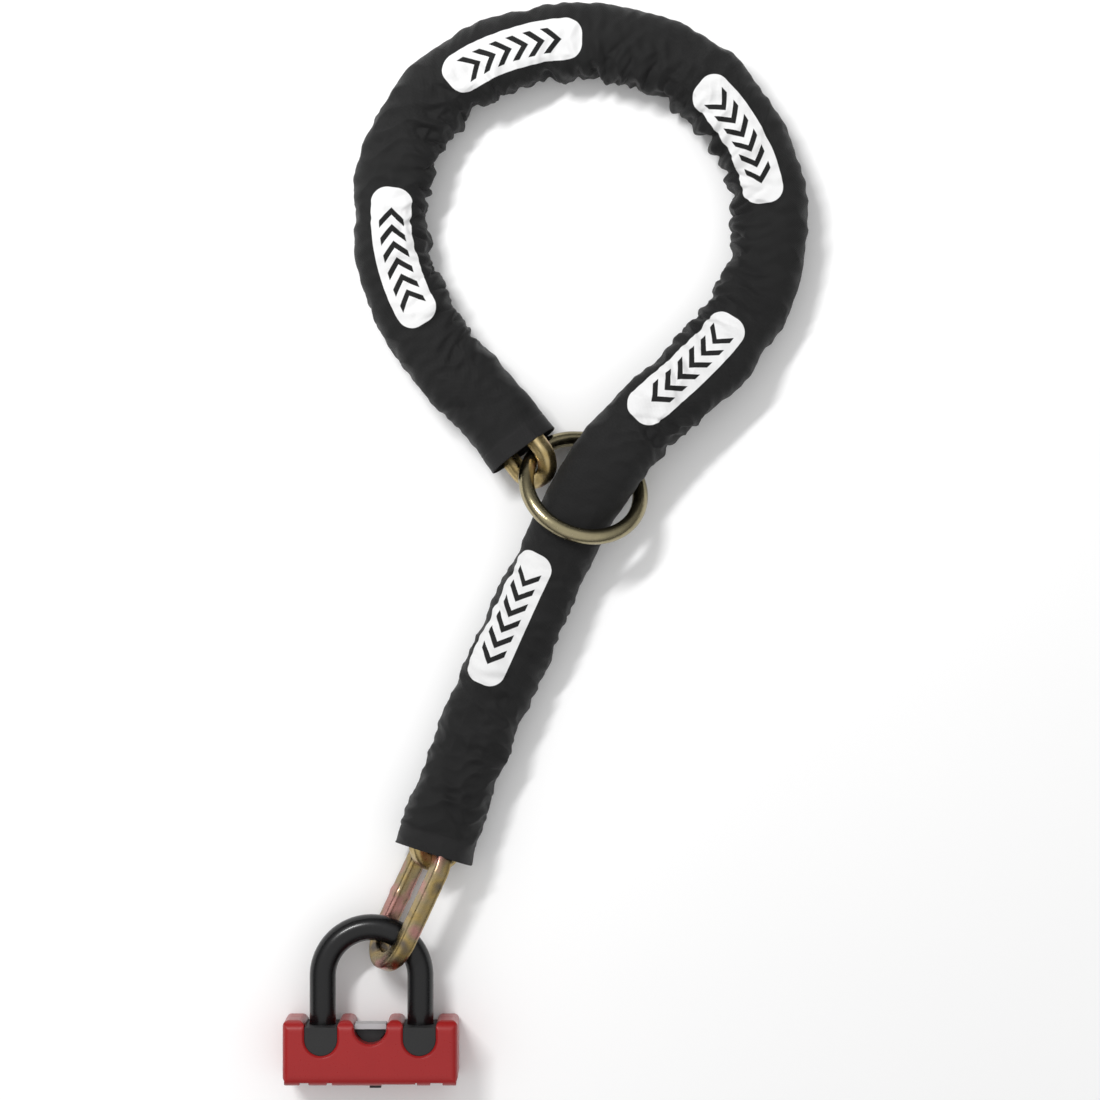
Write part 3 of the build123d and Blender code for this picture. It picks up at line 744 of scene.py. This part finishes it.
# one piece of cloth from the middle of each link to the middle of the next; where
# the two links are one body, neighbouring pieces are made as one
spans = []
startNumber = 1
for number in range(1, chain["links"]):
    if bodyOfSleeve(number) != bodyOfSleeve(number + 1):
        if number > startNumber:
            spans.append((startNumber, number))
        spans.append((number, number + 1))
        startNumber = number + 1
    elif number + 1 - startNumber >= 5:
        spans.append((startNumber, number + 1))
        startNumber = number + 1
pieceCount = 0
flatSizes = []
for first, last in spans:
    fromRun = hemStart if first == 1 else middleRun[first - 1]
    made, girth, length = sleevePiece(f"sleeveCloth{first:02d}", fromRun, middleRun[last - 1], hemAtStart=first == 1)
    bodyA, bodyB = bodyOfSleeve(first), bodyOfSleeve(last)
    if bodyA == bodyB:
        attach(made, bodyA)
        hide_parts(*[f"sleeve_{n:02d}" for n in range(first, last + (first == 1))])
    else:
        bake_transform(made)
        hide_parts(f"sleeve_{first:02d}")
    flatSizes.append((girth, length))
    pieceCount += 1
made, girth, length = sleevePiece("sleeveCloth21", middleRun[-1], hemEnd, hemAtEnd=True)
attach(made, bodyOfSleeve(21))
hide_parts("sleeve_21")
flatSizes.append((girth, length))
print("cloth flat sizes, mm:", [(round(g * 1000), round(l * 1000)) for g, l in flatSizes])
print("sleeve made in", pieceCount + 1, "pieces, whole length", round(hemEnd - hemStart), "mm")


# floor, light and camera

studio = {
    "floorTone": (0.95, 0.95, 0.95),
    "skyTones": [(0.0, (0.10, 0.10, 0.10)), (0.35, (0.30, 0.30, 0.30)), (0.75, (1.0, 1.0, 1.0))],
    "worldStrength": 0.92,
    "cameraHeight": 2.235,
    "lens": 120.0,
    "aim": (0.0017, -0.0050),
}
bpy.ops.mesh.primitive_plane_add(size=16.0, location=(0, 0, 0))
floor = bpy.context.object
floor.name = "studioFloor"
floorMaterial, floorTree, floorShader = newMaterial("pale studio floor")
floorPlace = objectSpace(floorTree)
floorTone = mixColour(floorTree, noiseNode(floorTree, floorPlace, 3.0), studio["floorTone"], (0.97, 0.97, 0.97))
floorTree.links.new(floorTone, floorShader.inputs["Base Color"])
floorShader.inputs["Roughness"].default_value = 0.9
floor.data.materials.append(floorMaterial)


def softLight(name, place, aim, size, power):
    data = bpy.data.lights.new(name, "AREA")
    data.shape = "RECTANGLE"
    data.size, data.size_y = size
    data.energy = power
    lamp = bpy.data.objects.new(name, data)
    bpy.context.scene.collection.objects.link(lamp)
    lamp.location = place
    way = np.array(aim) - np.array(place)
    lamp.rotation_euler = (math.acos(-way[2] / np.linalg.norm(way)), 0, math.atan2(way[0], -way[1]))
    return lamp


lamps = [
    softLight("keyLight", (-0.9, 1.1, 2.0), (0, 0, 0), (0.8, 0.5), 104),
    softLight("fillLight", (1.6, -0.8, 1.7), (0, 0, 0), (1.0, 1.0), 24),
    softLight("stripLight", (0.5, 1.9, 1.0), (0, 0, 0), (1.4, 0.25), 12),
]
world = bpy.data.worlds.new("studioWorld")
bpy.context.scene.world = world
world.use_nodes = True
# bright overhead, dark at the horizon, so that metal has something to reflect
sky = world.node_tree.nodes.new("ShaderNodeTexCoord")
skyParts = world.node_tree.nodes.new("ShaderNodeSeparateXYZ")
world.node_tree.links.new(sky.outputs["Generated"], skyParts.inputs[0])
skyTone = rampNode(world.node_tree, skyParts.outputs[2], studio["skyTones"])
world.node_tree.links.new(skyTone, world.node_tree.nodes["Background"].inputs[0])
world.node_tree.nodes["Background"].inputs[1].default_value = studio["worldStrength"]
bpy.context.scene.view_settings.view_transform = "Standard"

cameraData = bpy.data.cameras.new("camera")
cameraData.lens = studio["lens"]
cameraData.sensor_width = 36.0
cameraData.dof.use_dof = False
camera = bpy.data.objects.new("camera", cameraData)
bpy.context.scene.collection.objects.link(camera)
camera.location = (*studio["aim"], studio["cameraHeight"])
camera.rotation_euler = (0, 0, 0)
bpy.context.scene.camera = camera
print("studio ready")
